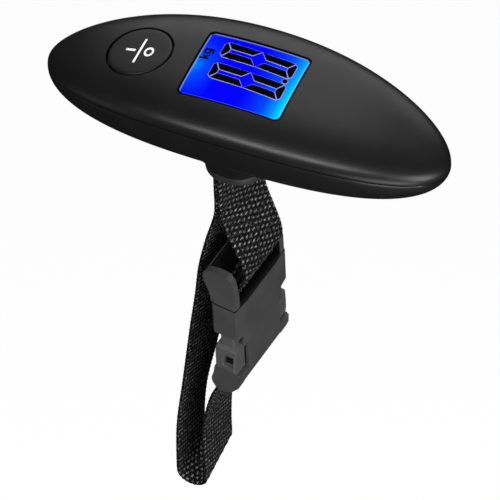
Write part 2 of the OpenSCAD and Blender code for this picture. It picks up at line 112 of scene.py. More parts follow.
def fullness(x, o=0):
    """How full the side profile is at x: 1 in the middle and 0 at the tips."""
    return max(0, 1 - (abs(x) / (BODY_L / 2 - o)) ** PROFILE_N)


def top_h(x, o=0):
    return (TOP_RISE - o) * fullness(x, o) ** (1 / TOP_BLUNTNESS)


def bottom_h(x, o=0):
    return (BOTTOM_DROP - o) * fullness(x, o) ** (1 / BOTTOM_BLUNTNESS)


def top_z(x, y):
    """Height of the top surface."""
    return seam_z(x) + top_h(x) * max(0, 1 - (abs(y) / half_w(x)) ** TOP_N) ** (1 / TOP_N)


def signed_pow(v, p):
    return math.copysign(abs(v) ** p, v)


def surface_normal(x, y, z):
    """The outward direction of the body's surface near a point on it."""
    def level(a, b, c):
        w = half_w(a)
        rise = c - seam_z(a)
        h, n = (top_h(a), TOP_N) if rise >= 0 else (bottom_h(a), BOTTOM_N)
        if w < 0.01 or h < 0.01:
            return 1.0
        return abs(b / w) ** n + abs(rise / h) ** n
    step = 0.02
    slope = Vector((
        level(x + step, y, z) - level(x - step, y, z),
        level(x, y + step, z) - level(x, y - step, z),
        level(x, y, z + step) - level(x, y, z - step),
    ))
    return slope.normalized() if slope.length > 1e-9 else Vector((0, 0, 1))


# ---- mesh helpers ----

MERGE_DISTANCE = 1e-7
NODE_MERGE_DISTANCE = 2e-6
FLAT_ANGLE = math.radians(2)
BEVEL_ANGLE = math.radians(30)
BEVEL_SHARP_ANGLE = math.radians(50)
SKIN_SHARP_ANGLE = math.radians(35)


def mesh_object(name, verts, faces, smooth=True):
    """An object from points in millimetres."""
    me = bpy.data.meshes.new(name)
    me.from_pydata([Vector(v) * MM for v in verts], [], faces)
    me.validate()
    me.update()
    if smooth:
        me.shade_smooth()
    ob = bpy.data.objects.new(name, me)
    scene.collection.objects.link(ob)
    return ob


def turned_outward(ob, merge=True):
    """Turns every face outwards, after merging the points that coincide."""
    bm = bmesh.new()
    bm.from_mesh(ob.data)
    if merge:
        bmesh.ops.remove_doubles(bm, verts=bm.verts, dist=MERGE_DISTANCE)
    bmesh.ops.recalc_face_normals(bm, faces=bm.faces)
    bm.to_mesh(ob.data)
    bm.free()
    ob.data.shade_smooth()
    return ob


def tube_faces(rings, m, first=0):
    """Quads between rings of m points each, whose points are numbered from first on."""
    faces = []
    for i in range(rings - 1):
        here = first + i * m
        there = here + m
        for j in range(m):
            k = (j + 1) % m
            faces.append((here + j, here + k, there + k, there + j))
    return faces


def loft(name, rings, ends=True):
    """Joins rings of points, each with as many points, into one surface."""
    m = len(rings[0])
    verts = [p for r in rings for p in r]
    faces = tube_faces(len(rings), m)
    if ends:
        faces.append(tuple(range(m))[::-1])
        faces.append(tuple((len(rings) - 1) * m + j for j in range(m)))
    return turned_outward(mesh_object(name, verts, faces))


def applied(ob):
    """Puts the modifiers' result into the mesh."""
    graph = bpy.context.evaluated_depsgraph_get()
    result = bpy.data.meshes.new_from_object(
        ob.evaluated_get(graph), preserve_all_data_layers=True, depsgraph=graph)
    ob.modifiers.clear()
    ob.data = result
    return ob


def combine(ob, other, operation):
    """Adds another solid to ob, or cuts it away."""
    mod = ob.modifiers.new("cut", "BOOLEAN")
    mod.operation = operation
    mod.solver = "EXACT"
    mod.object = other
    applied(ob)
    bpy.data.objects.remove(other)
    return ob


def bevelled(ob, width, segments):
    """Rounds the sharp edges, and keeps the flat faces flat in their shading."""
    mod = ob.modifiers.new("bevel", "BEVEL")
    mod.width = width * MM
    mod.segments = segments
    mod.limit_method = "ANGLE"
    mod.angle_limit = BEVEL_ANGLE
    mod.use_clamp_overlap = True
    mod.harden_normals = False
    applied(ob)
    ob.data.shade_smooth()
    ob.data.set_sharp_from_angle(angle=BEVEL_SHARP_ANGLE)
    mod = ob.modifiers.new("normals", "WEIGHTED_NORMAL")
    mod.keep_sharp = True
    return applied(ob)


def refined(node, name, width, segments=3):
    """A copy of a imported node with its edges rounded, to stand for it."""
    me = NODES[node].data.copy()
    me.name = name
    ob = bpy.data.objects.new(name, me)
    scene.collection.objects.link(ob)
    bm = bmesh.new()
    bm.from_mesh(me)
    bmesh.ops.remove_doubles(bm, verts=bm.verts, dist=NODE_MERGE_DISTANCE)
    bmesh.ops.dissolve_limit(bm, angle_limit=FLAT_ANGLE, verts=bm.verts, edges=bm.edges)
    bm.to_mesh(me)
    bm.free()
    me.materials.clear()
    bevelled(ob, width, segments)
    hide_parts(node)
    return ob


def solid(name, outline, z0, z1):
    """An upright prism on an outline in X and Y."""
    n = len(outline)
    verts = flat_ring(outline, z0) + flat_ring(outline, z1)
    faces = [tuple(range(n))[::-1], tuple(range(n, 2 * n))]
    faces += [(i, (i + 1) % n, n + (i + 1) % n, n + i) for i in range(n)]
    return turned_outward(mesh_object(name, verts, faces, smooth=False))


def circle(cx, cy, r, n=96):
    turns = [2 * math.pi * i / n for i in range(n)]
    return [(cx + r * math.cos(a), cy + r * math.sin(a)) for a in turns]


def flat_ring(outline, z):
    """An outline in X and Y as a ring of points at height z."""
    return [(x, y, z) for x, y in outline]


def rounded_rect(length, width, r, n=8):
    """An outline in X and Y with n steps round each corner."""
    points = []
    for k, (sx, sy) in enumerate([(1, 1), (-1, 1), (-1, -1), (1, -1)]):
        cx, cy = sx * (length / 2 - r), sy * (width / 2 - r)
        for i in range(n + 1):
            a = math.pi / 2 * (k + i / n)
            points.append((cx + r * math.cos(a), cy + r * math.sin(a)))
    return points


def finish_piece(ob, body, slot, material, *nodes):
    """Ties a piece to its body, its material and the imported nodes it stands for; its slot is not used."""
    if body:
        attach(ob, body)
    if nodes:
        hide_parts(*nodes)
    ob.data.materials.clear()
    ob.data.materials.append(material)
    return ob


# ---- materials ----

FAR_BELOW = -500
GLASS_HALF_X, GLASS_HALF_Y, GLASS_BORDER = 17.15, 13.75, 0.2


class Nodes:
    """Short names for building one material's nodes."""

    def __init__(self, name):
        self.material = bpy.data.materials.new(name)
        self.material.use_nodes = True
        self.tree = self.material.node_tree
        self.shader = self.tree.nodes["Principled BSDF"]

    @classmethod
    def of(cls, material):
        """The same for a material that is already made."""
        n = cls.__new__(cls)
        n.material, n.tree = material, material.node_tree
        n.shader = n.tree.nodes["Principled BSDF"]
        return n

    def add(self, kind, **inputs):
        node = self.tree.nodes.new(kind)
        for key, value in inputs.items():
            if key.startswith("_"):
                setattr(node, key[1:], value)
            else:
                self.put(node.inputs[key.replace("__", " ")], value)
        return node

    def put(self, socket, value):
        if isinstance(value, bpy.types.NodeSocket):
            self.tree.links.new(value, socket)
        else:
            socket.default_value = value

    def set(self, **inputs):
        for key, value in inputs.items():
            self.put(self.shader.inputs[key.replace("__", " ")], value)

    def position(self):
        return self.add("ShaderNodeTexCoord").outputs["Object"]

    def noise(self, vector, scale, detail=3, roughness=0.5):
        return self.add("ShaderNodeTexNoise", Vector=vector, Scale=scale, Detail=detail,
                        Roughness=roughness).outputs["Fac"]

    def ramp(self, fac, stops):
        node = self.add("ShaderNodeValToRGB", Fac=fac)
        node.color_ramp.elements[0].position, node.color_ramp.elements[0].color = stops[0]
        node.color_ramp.elements[1].position, node.color_ramp.elements[1].color = stops[-1]
        for place, colour in stops[1:-1]:
            node.color_ramp.elements.new(place).color = colour
        return node.outputs["Color"]

    def span(self, value, low, high, from_low=0.0, from_high=1.0):
        return self.add("ShaderNodeMapRange", Value=value, From__Min=from_low, From__Max=from_high,
                        To__Min=low, To__Max=high).outputs["Result"]

    def math(self, operation, a, b=0.0):
        node = self.add("ShaderNodeMath", _operation=operation)
        self.put(node.inputs[0], a)
        self.put(node.inputs[1], b)
        return node.outputs[0]

    def bump(self, height, strength, distance):
        node = self.add("ShaderNodeBump", Height=height, Strength=strength, Distance=distance)
        self.set(Normal=node.outputs["Normal"])


def shade(colour, factor):
    """The colour made darker or lighter, as four numbers."""
    return tuple(c * factor for c in colour[:3]) + (1,)


def plastic(name, colour, rough, grain=0.05, grain_scale=3200, spread=0.12):
    """Moulded plastic: a fine grain, with slow changes in its colour and roughness."""
    n = Nodes(name)
    at = n.position()
    stops = [(0.3, shade(colour, 1 - spread)), (0.7, shade(colour, 1 + spread))]
    n.set(Base__Color=n.ramp(n.noise(at, 90, 4), stops))
    n.set(Roughness=n.span(n.noise(at, 140, 4), rough - 0.05, rough + 0.06))
    n.set(Specular__IOR__Level=0.5)
    n.bump(n.noise(at, grain_scale, 2), grain, 0.0002)
    return n.material


def metal(name, colour, rough, brushed=(4000, 300, 300)):
    """Metal with fine brushed lines, close together along the axis of the largest scale."""
    n = Nodes(name)
    at = n.position()
    stretched = n.add("ShaderNodeMapping", Vector=at, Scale=brushed).outputs["Vector"]
    lines = n.noise(stretched, 1, 3)
    n.set(Base__Color=n.ramp(lines, [(0.3, shade(colour, 0.9)), (0.7, colour)]))
    n.set(Metallic=1.0, Roughness=n.span(lines, rough - 0.06, rough + 0.08))
    n.bump(lines, 0.08, 0.0001)
    return n.material


def buckle_plastic(name, colour, dark, low, high, joint=FAR_BELOW):
    """Plastic of the buckle with painted shade: darker within a box in t, w and z (mm), and below the height
    of a joint, where shade falls.
    """
    material = plastic(name, colour, 0.4, 0.05)
    n = Nodes.of(material)
    at = n.add("ShaderNodeSeparateXYZ", Vector=n.position())
    c, k = math.cos(SLING_TURN), math.sin(SLING_TURN)
    x, y = at.outputs["X"], at.outputs["Y"]
    t = n.math("ADD", n.math("MULTIPLY", x, c), n.math("MULTIPLY", y, k))
    w = n.math("ABSOLUTE", n.math("SUBTRACT", n.math("MULTIPLY", y, c), n.math("MULTIPLY", x, k)))
    # painted shade: the box and the part below the joint get a darker, less glossy colour
    inside = 1.0
    for value, a, b in zip((t, w, at.outputs["Z"]), low, high):
        inside = n.math("MULTIPLY", inside, n.math("GREATER_THAN", value, a * MM))
        inside = n.math("MULTIPLY", inside, n.math("LESS_THAN", value, b * MM))
    inside = n.math("MAXIMUM", inside, n.math("LESS_THAN", at.outputs["Z"], joint * MM))
    own = n.shader.inputs["Base Color"].links[0].from_socket
    mix = n.add("ShaderNodeMix", _data_type="RGBA")
    n.put(mix.inputs["Factor"], inside)
    n.put(mix.inputs["A"], own)
    n.put(mix.inputs["B"], shade(colour, dark))
    n.set(Base__Color=mix.outputs["Result"], Specular__IOR__Level=n.span(inside, 0.5, 0.12))
    return material


def webbing_material():
    """Black yarn: a fine twill, with a painted highlight that makes it paler where a yarn comes up to the
    surface.
    """
    n = Nodes("webbing")
    place = n.add("ShaderNodeAttribute", _attribute_name="strap_place").outputs["Vector"]
    height = n.add("ShaderNodeAttribute", _attribute_name="strap_height").outputs["Fac"]

    def stretched_noise(scale):
        return n.noise(n.add("ShaderNodeMapping", Vector=place, Scale=scale).outputs["Vector"], 1, 3)

    fibre = stretched_noise((9, 0.9, 1))
    speck = stretched_noise((1.1, 1.1, 1))
    at = n.add("ShaderNodeSeparateXYZ", Vector=place)

    def diagonal(operation, across, along):
        return n.math("SINE", n.math(operation, n.math("MULTIPLY", at.outputs["X"], across),
                                     n.math("MULTIPLY", at.outputs["Y"], along)))

    ribs = diagonal("ADD", 6.5, 3.6)
    threads = diagonal("SUBTRACT", 5.1, 4.4)
    twill = n.span(n.math("MULTIPLY", ribs, threads), 0, 1, -0.25, 1)
    crest = n.math("POWER", height, 1.6)
    # painted highlight: the pattern follows the real weave, but the paleness on the yarns' crests stands for
    # their glints
    painted_glint = n.math("MULTIPLY", n.math("ADD", n.math("MULTIPLY", crest, 0.8), n.math("MULTIPLY", twill, 0.5)),
                    n.span(speck, 0.2, 1, 0.35, 0.62))
    # colours from the black yarn up to the pale painted highlight on the crests
    yarn = [
        (0.0, (0.0015, 0.0015, 0.0016, 1)),
        (0.22, (0.009, 0.009, 0.0095, 1)),
        (0.45, (0.07, 0.07, 0.072, 1)),
        (0.9, (0.75, 0.75, 0.76, 1)),
    ]
    n.set(Base__Color=n.ramp(painted_glint, yarn))
    n.set(Roughness=n.span(painted_glint, 0.8, 0.45), Specular__IOR__Level=n.span(painted_glint, 0.03, 0.5, 0.05, 0.5))
    n.bump(n.math("ADD", fibre, twill), 0.6, 0.00015)
    return n.material


def display_material():
    """Lit blue glass: deep blue in the middle, cyan where the light comes in at the ends."""
    n = Nodes("display_blue")
    at = n.add("ShaderNodeSeparateXYZ", Vector=n.position())
    x, y = at.outputs["X"], at.outputs["Y"]
    right = n.span(x, 0, 1, 1 * MM, 17.2 * MM)
    left = n.span(x, 0, 1, -8.5 * MM, -17.4 * MM)
    near = n.span(y, 0.8, 1.05, 13.5 * MM, -10 * MM)
    off_middle = n.math("ABSOLUTE", n.math("ADD", y, 1 * MM))
    middle = n.math("SUBTRACT", 1.0, n.math("MULTIPLY", off_middle, 0.075 / MM))
    glow = n.math("ADD", n.math("MULTIPLY", n.math("POWER", right, 2.3), near),
                  n.math("MULTIPLY", n.math("MULTIPLY", left, 0.62), n.math("MAXIMUM", middle, 0.12)))
    greens = [(0.0, 0.0), (0.35, 0.07), (0.65, 0.28), (1.0, 0.74)]
    colour = n.ramp(glow, [(place, (0.0, green, 1.0, 1)) for place, green in greens])
    edge = n.math("MAXIMUM", n.math("SUBTRACT", n.math("ABSOLUTE", x), GLASS_HALF_X * MM),
                  n.math("SUBTRACT", n.math("ABSOLUTE", y), GLASS_HALF_Y * MM))
    lit = n.add("ShaderNodeMix", _data_type="RGBA")
    n.put(lit.inputs["Factor"], n.span(edge, 0, 0.45, 0, GLASS_BORDER * MM))
    n.put(lit.inputs["A"], colour)
    n.put(lit.inputs["B"], (0.35, 0.5, 1.0, 1))
    n.set(Base__Color=(0.0, 0.0, 0.05, 1), Roughness=0.6, Specular__IOR__Level=0.0,
          Emission__Color=lit.outputs["Result"], Emission__Strength=1.0)
    return n.material


def glow_material(name, colour, strength):
    """Print or light that is a little uneven, with a glow: on print the glow is painted light."""
    n = Nodes(name)
    tint = n.ramp(n.noise(n.position(), 400, 2), [(0.2, shade(colour, 0.9)), (0.8, colour)])
    n.set(Base__Color=tint, Roughness=0.5, Emission__Color=tint, Emission__Strength=strength)
    return n.material


def clear_material():
    """The window's lens, nearly invisible, with a faint gloss."""
    n = Nodes("clear_window")
    n.set(Base__Color=(0.02, 0.02, 0.03, 1), Alpha=0.03, Specular__IOR__Level=0.15)
    n.set(Roughness=n.span(n.noise(n.position(), 200, 2), 0.25, 0.3))
    return n.material


def board_material():
    """Green solder mask with copper tracks just showing through."""
    n = Nodes("board")
    at = n.position()
    tracks = n.add("ShaderNodeTexBrick", Vector=at, Scale=260, Color1=(0, 0, 0, 1), Color2=(0, 0, 0, 1),
                   Mortar=(1, 1, 1, 1), Mortar__Size=0.03).outputs["Color"]
    colour = n.add("ShaderNodeMix", _data_type="RGBA")
    n.put(colour.inputs["Factor"], tracks)
    n.put(colour.inputs["A"], (0.006, 0.09, 0.035, 1))
    n.put(colour.inputs["B"], (0.03, 0.2, 0.08, 1))
    n.set(Base__Color=colour.outputs["Result"], Roughness=0.3)
    n.bump(tracks, 0.3, 0.0001)
    return n.material


def striped_rubber():
    """The elastomer strips between glass and board, with their fine conducting stripes."""
    n = Nodes("striped_rubber")
    wave = n.add("ShaderNodeTexWave", Vector=n.position(), Scale=900).outputs["Fac"]
    n.set(Base__Color=n.ramp(wave, [(0.4, (0.02, 0.02, 0.02, 1)), (0.6, (0.75, 0.4, 0.5, 1))]), Roughness=0.6)
    return n.material


def less_shiny(material, level):
    """The material with a lower level of reflection."""
    material.node_tree.nodes["Principled BSDF"].inputs["Specular IOR Level"].default_value = level
    return material


SHELL = plastic("shell_plastic", (0.012, 0.012, 0.0125), 0.36, 0.04)
COLLAR = plastic("collar_plastic", (0.034, 0.034, 0.035), 0.42, 0.05)
BUTTON = plastic("button_plastic", (0.012, 0.012, 0.0125), 0.4, 0.05)
# painted shade: a near-black, almost unreflecting plastic that stands for the shade in the seam gap and round
# the window
GAP_SHADE = less_shiny(plastic("gap_shade_plastic", (0.001, 0.001, 0.0012), 0.8, 0.02), 0.05)
# painted light: the white print glows a little, so it stays bright whatever the light
MARK = glow_material("white_print_painted_glow", (0.8, 0.8, 0.8, 1), 0.75)
BUCKLE = plastic("buckle_plastic", (0.088, 0.088, 0.09), 0.4, 0.05)
# painted shade: the plug's cavity and front wall, and its part below the socket's mouth, are darker where
# shade falls
PLUG = buckle_plastic("plug_plastic_painted_shade", (0.088, 0.088, 0.09), 0.1, (-9.6, -1, -97.3), (3, 13.6, -75), -97.3)
# painted light and shade: the pads are a lighter copy of the buckle's grey where they catch light, and darker
# within their square holes
PAD = buckle_plastic("pad_plastic_painted_light_and_shade", (0.115, 0.115, 0.117), 0.05, (-3.4, 16, -128.7), (0.2, 16.6, -123.7))
HOLDER = plastic("holder_plastic", (0.012, 0.012, 0.012), 0.5)
DIFFUSER = plastic("diffuser_plastic", (0.85, 0.87, 0.9), 0.35, spread=0.03)
SWITCH = plastic("switch_plastic", (0.05, 0.05, 0.05), 0.5)
CHIP = plastic("chip_resin", (0.01, 0.01, 0.01), 0.55)
RED = plastic("red_plastic", (0.5, 0.03, 0.025), 0.4)
BLACK = plastic("black_insulation", (0.015, 0.015, 0.015), 0.45)
STEEL = metal("zinc_steel", (0.62, 0.62, 0.63, 1), 0.3)
BEAM = metal("machined_aluminium", (0.72, 0.73, 0.75, 1), 0.28)
CELL = metal("cell_nickel", (0.75, 0.74, 0.72, 1), 0.18, (900, 900, 300))
BRASS = metal("contact_brass", (0.78, 0.6, 0.3, 1), 0.3)
FOIL = metal("gauge_foil", (0.85, 0.55, 0.25, 1), 0.35, (6000, 200, 200))
WEBBING = webbing_material()
THREAD = plastic("thread", (0.03, 0.03, 0.031), 0.6, 0.3, 5000)
BLUE = display_material()
CLEAR = clear_material()
BOARD = board_material()
ZEBRA = striped_rubber()
SEGMENT = less_shiny(plastic("segment_black", (0.001, 0.001, 0.002), 0.9), 0.0)
OUTLINE = glow_material("segment_edge", (0.3, 0.32, 1.0, 1), 0.8)

PACKED_LOOKS = {
    "display_holder": HOLDER, "backlight": DIFFUSER, "display_connectors": ZEBRA, "circuit_board": BOARD,
    "controller_chip": CHIP, "tact_switch": SWITCH, "switch_plunger": RED, "load_cell": BEAM,
    "strain_gauges": FOIL, "load_cell_screws": STEEL, "hanger_yoke": STEEL, "yoke_screw": STEEL,
    "strap_bar": STEEL, "sensor_wires": RED, "battery_wires": BLACK, "coin_cell": CELL,
    "contact_negative": BRASS, "contact_positive": BRASS, "board_screws": STEEL,
}


def dress_packed_nodes():
    """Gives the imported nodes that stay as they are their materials."""
    for node, material in PACKED_LOOKS.items():
        slots = NODES[node].data.materials
        for i in range(len(slots)):
            slots[i] = material
        if not len(slots):
            slots.append(material)


dress_packed_nodes()

# ---- the two shells ----

STATIONS = 110
AROUND = 44
SEAM_CROWDING = 0.08
EDGE_ROUND = 0.28
SEAM_GAP = 0.21
ABOVE_BODY, BELOW_BODY = 12, -40
BUTTON_CLEARANCE = 0.3
FLARE_H, FLARE_STEPS = 15, 30
FLARE_TILT = 0.3
FLARE_PROUD = 0.1
FLARE_GROWTH_X, FLARE_GROWTH_Y, FLARE_SLOPE_Y = 0.095, 0.0215, 0.2
FLARE_SQUARING = 20
SKIN_TOLERANCE, FLARE_TOLERANCE = 0.03, 0.02
SKIN_MATCH, FLARE_MATCH = 0.8, 0.5
TIP_SHARE = 0.96
BORE_WALL_X, BORE_WALL_Y = 0.8, 0.4
BOSS_PROFILE = [(13.9, -22.4), (14.2, -22.3), (14.3, -22), (14.3, -17)]
BORE_BOTTOM, BORE_TOP = -34, 0
WELL_START = -30
WELL_R, WELL_TOP = 12.5, -20.8
THROAT_R, THROAT_TOP = 11.3, -10
SCREW_X, SCREW_Y, SCREW_HOLE_R, SCREW_HOLE_TOP = 55, 7, 3, -15.5
LIP_POINTS, LIP_HALF_HEIGHT = 240, 0.32
LIP_OUTER, LIP_INNER = 0.42, 1.6


def plan_inward(x, y, d):
    """Moves a point of the plan outline inwards by d."""
    gx = math.copysign(abs(x / (BODY_L / 2)) ** (PLAN_N - 1) / (BODY_L / 2), x)
    gy = math.copysign(abs(y / (BODY_W / 2)) ** (PLAN_M - 1) / (BODY_W / 2), y)
    size = math.hypot(gx, gy) or 1
    return x - d * gx / size, y - d * gy / size


def shell_ring(x, o, side):
    """The cross-section at x, set in by o: side 1 is the top shell, -1 the bottom, 0 both."""
    ring = []
    if side == 0:
        angles = [2 * math.pi * j / (2 * AROUND) for j in range(2 * AROUND)]
    else:
        # closer together at the seam, where the edge is rounded
        angles = [side * math.pi * (j / AROUND - SEAM_CROWDING * math.sin(2 * math.pi * j / AROUND))
                  for j in range(AROUND + 1)]
    for a in angles:
        up = math.sin(a) >= 0
        h = top_h(x, o) if up else bottom_h(x, o)
        n = TOP_N if up else BOTTOM_N
        y = half_w(x, o) * signed_pow(math.cos(a), 2 / n)
        rise = h * signed_pow(math.sin(a), 2 / n)
        px = x
        if side and abs(rise) < EDGE_ROUND:
            inset = EDGE_ROUND - math.sqrt(max(0, EDGE_ROUND ** 2 - (EDGE_ROUND - abs(rise)) ** 2))
            px, y = plan_inward(x, y, min(inset, half_w(x, o) * 0.9))
        if side:
            rise = side * max(side * rise, SEAM_GAP)
        ring.append((px, y, seam_z(x) + rise))
    return ring


def half_body(name, o, side):
    """The body's form, set in by o, for one side or both."""
    xs = [-(BODY_L / 2 - o) * math.cos(math.pi * i / STATIONS) for i in range(1, STATIONS)]
    return loft(name, [shell_ring(x, o, side) for x in xs])


def follow_surface(ob):
    """Gives the outer skin the normals of the form itself, so that cuts leave no shading marks."""
    me = ob.data
    me.shade_smooth()
    me.set_sharp_from_angle(angle=SKIN_SHARP_ANGLE)
    bpy.context.view_layer.update()
    corner = [Vector(c.vector) for c in me.corner_normals]
    known = {}
    for face in me.polygons:
        for k in face.loop_indices:
            v = me.loops[k].vertex_index
            x, y, z = me.vertices[v].co / MM
            if abs(x) > BODY_L / 2 * TIP_SHARE or abs(z - seam_z(x)) < EDGE_ROUND * 1.6:
                continue
            if v not in known:
                known[v] = surface_normal(x, y, z)
            flare = flare_normal(x, y, z)
            if face.normal.dot(known[v]) > SKIN_MATCH and on_skin(x, y, z):
                corner[k] = known[v]
            elif flare and face.normal.dot(flare) > FLARE_MATCH:
                corner[k] = flare
    me.normals_split_custom_set(corner)
    return ob


def on_skin(x, y, z):
    """Whether a point lies on the body's own surface."""
    w = half_w(x)
    rise = z - seam_z(x)
    h, n = (top_h(x), TOP_N) if rise >= 0 else (bottom_h(x), BOTTOM_N)
    return abs(abs(y / w) ** n + abs(rise / h) ** n - 1) < SKIN_TOLERANCE


def cavity(name):
    return half_body(name, WALL, 0)


def make_top_shell():
    shell = half_body("upper_shell", 0, 1)
    combine(shell, cavity("hollow"), "DIFFERENCE")
    window = rounded_rect(WINDOW_L, WINDOW_W, WINDOW_R)
    combine(shell, solid("window_cut", window, 0, ABOVE_BODY), "DIFFERENCE")
    button = circle(BUTTON_X, 0, BUTTON_R + BUTTON_CLEARANCE)
    combine(shell, solid("button_cut", button, -4, ABOVE_BODY), "DIFFERENCE")
    follow_surface(shell)
    return finish_piece(shell, "housing", "shell", SHELL, "top_shell")


def oval_ring(hx, hy, z, p, n=96):
    """A superelliptic ring, squarer as its power p grows."""
    turns = [2 * math.pi * i / n for i in range(n)]
    return [(NECK_X + hx * signed_pow(math.cos(a), 2 / p), hy * signed_pow(math.sin(a), 2 / p), z)
            for a in turns]


def neck_shape(t):
    """The neck's half width in X and Y and its power, at height t above its bottom."""
    hx = NECK_HX + FLARE_PROUD + FLARE_GROWTH_X * t * t
    hy = NECK_HY + FLARE_PROUD + FLARE_SLOPE_Y * t + FLARE_GROWTH_Y * t * t
    return hx, hy, NECK_P + t / FLARE_SQUARING


def neck_ring(t):
    hx, hy, p = neck_shape(t)
    return oval_ring(hx, hy, NECK_BOTTOM + t, p, 192)


def flare_normal(x, y, z):
    """The outward direction of the neck's flare at a point on it, or None elsewhere."""
    t = z - NECK_BOTTOM
    if not 0 <= t < FLARE_H - 0.01:
        return None
    hx, hy, p = neck_shape(t)
    if abs(abs((x - NECK_X) / hx) ** p + abs(y / hy) ** p - 1) > FLARE_TOLERANCE:
        return None
    across = Vector((signed_pow((x - NECK_X) / hx, p - 1) / hx, signed_pow(y / hy, p - 1) / hy, 0))
    return (across.normalized() + Vector((0, 0, -FLARE_TILT))).normalized()


def make_bottom_shell():
    shell = half_body("lower_shell", 0, -1)
    rings = [neck_ring(FLARE_H * k / FLARE_STEPS) for k in range(FLARE_STEPS + 1)]
    combine(shell, loft("neck", rings), "UNION")
    rings = [flat_ring(circle(CELL_X, 0, r), z) for r, z in BOSS_PROFILE]
    combine(shell, loft("boss", rings), "UNION")
    combine(shell, cavity("hollow"), "DIFFERENCE")
    rings = [oval_ring(BORE_HX + BORE_WALL_X, BORE_HY + BORE_WALL_Y, z, BORE_P)
             for z in (BORE_BOTTOM, BORE_TOP)]
    combine(shell, loft("bore", rings), "DIFFERENCE")
    combine(shell, solid("well", circle(CELL_X, 0, WELL_R), WELL_START, WELL_TOP), "DIFFERENCE")
    throat = circle(CELL_X, 0, THROAT_R)
    combine(shell, solid("well_throat", throat, WELL_START, THROAT_TOP), "DIFFERENCE")
    for x in (-SCREW_X, SCREW_X):
        for y in (-SCREW_Y, SCREW_Y):
            hole = circle(x, y, SCREW_HOLE_R, 40)
            combine(shell, solid("screw_hole", hole, BELOW_BODY, SCREW_HOLE_TOP), "DIFFERENCE")
    follow_surface(shell)
    return finish_piece(shell, "housing", "shell", SHELL, "bottom_shell")


def make_seam_lip():
    """A tongue inside the joint of the two shells, which closes the gap between them; its near-black is
    painted shade in the gap.
    """
    rings = []
    for i in range(LIP_POINTS):
        a = 2 * math.pi * i / LIP_POINTS
        x = BODY_L / 2 * signed_pow(math.cos(a), 2 / PLAN_N)
        y = BODY_W / 2 * signed_pow(math.sin(a), 2 / PLAN_M)
        outer, inner = plan_inward(x, y, LIP_OUTER), plan_inward(x, y, LIP_INNER)
        rings.append([(px, py, seam_z(px) + up * LIP_HALF_HEIGHT) for (px, py), up in
                      [(outer, 1), (outer, -1), (inner, -1), (inner, 1)]])
    rings.append(rings[0])
    return finish_piece(loft("seam_lip", rings, ends=False), "housing", "shell", GAP_SHADE)


make_top_shell()
make_bottom_shell()
make_seam_lip()

# ---- collar ----

SLEEVE_H = 4.5
# how far out from the bore (0) to the outer face (1), and the height over the neck's bottom
COLLAR_PROFILE = [
    (0.35, SLEEVE_H), (0.35, 0.02), (0.85, -0.1), (0.95, -0.2), (1, -0.4), (1, -2.7), (0.98, -2.95),
    (0.9, -3.15), (0.78, -3.3), (0.6, -3.38), (0.35, -3.35), (0.12, -3.2), (0, -2.9), (0, SLEEVE_H),
]


def make_collar():
    rings = []
    for out, up in COLLAR_PROFILE:
        hx = BORE_HX + out * (NECK_HX - BORE_HX)
        hy = BORE_HY + out * (NECK_HY - BORE_HY)
        rings.append(oval_ring(hx, hy, NECK_BOTTOM + up, BORE_P + out * (NECK_P - BORE_P), 120))
    rings.append(rings[0])
    collar = loft("mouth_collar", rings, ends=False)
    return finish_piece(collar, "housing", "shell", COLLAR, "neck_collar")


make_collar()

# ---- button ----

CAP_R = BUTTON_R - 0.42
CAP_POINTS = 120
CAP_DISH, CAP_DISH_SHARE = 0.12, 0.9
CAP_TOP = [0.02, 0.15, 0.3, 0.45, 0.6, 0.72, 0.82, 0.9, 0.95]
# share of the cap's radius, and depth under the top surface
CAP_SIDE = [
    (0.965, 0.02), (0.98, 0.07), (0.99, 0.16), (0.997, 0.3), (1, 0.5), (1, 1.2), (1, 2.9), (0.86, 2.9),
    (0.86, 1.8), (0.2, 1.8),
]
FLANGE_IN, FLANGE_OUT = CAP_R - 1, CAP_R + 1.2
FLANGE_TOP, FLANGE_UNDER = 2.3, 2.9
STEM_R, STEM_TIP_R = 2.2, 1.9
STEM_BOTTOM, STEM_CHAMFER, STEM_DEPTH = 0.95, 0.25, 1.5


def under_top(outline, depth):
    """An outline in X and Y as a ring of points at a depth under the top surface."""
    return [(x, y, top_z(x, y) - depth) for x, y in outline]


def make_button():
    rings = []
    for f in CAP_TOP:
        # the cap is dished very slightly in the middle
        dish = CAP_DISH * max(0, 1 - (f / CAP_DISH_SHARE) ** 2)
        rings.append(under_top(circle(BUTTON_X, 0, CAP_R * f, CAP_POINTS), dish))
    for f, depth in CAP_SIDE:
        rings.append(under_top(circle(BUTTON_X, 0, CAP_R * f, CAP_POINTS), depth))
    finish_piece(loft("button_cap", rings), "button", "button", BUTTON, "power_button")
    corners = [(FLANGE_IN, FLANGE_TOP), (FLANGE_OUT, FLANGE_TOP), (FLANGE_OUT, FLANGE_UNDER),
               (FLANGE_IN, FLANGE_UNDER)]
    rings = [under_top(circle(BUTTON_X, 0, r), depth) for r, depth in corners]
    rings.append(rings[0])
    finish_piece(loft("button_flange", rings, ends=False), "button", "button", BUTTON)
    corners = [(STEM_TIP_R, STEM_BOTTOM), (STEM_R, STEM_BOTTOM + STEM_CHAMFER),
               (STEM_R, top_z(BUTTON_X, 0) - STEM_DEPTH)]
    rings = [flat_ring(circle(BUTTON_X, 0, r, 48), z) for r, z in corners]
    finish_piece(loft("button_stem", rings), "button", "button", BUTTON)


make_button()


def finer(outline, step=0.8):
    """The outline with points added along its long sides, so that it can follow the curved top."""
    points = []
    for (x0, y0), (x1, y1) in zip(outline, outline[1:] + outline[:1]):
        n = max(1, int(math.hypot(x1 - x0, y1 - y0) / step))
        points += [(x0 + (x1 - x0) * i / n, y0 + (y1 - y0) * i / n) for i in range(n)]
    return points


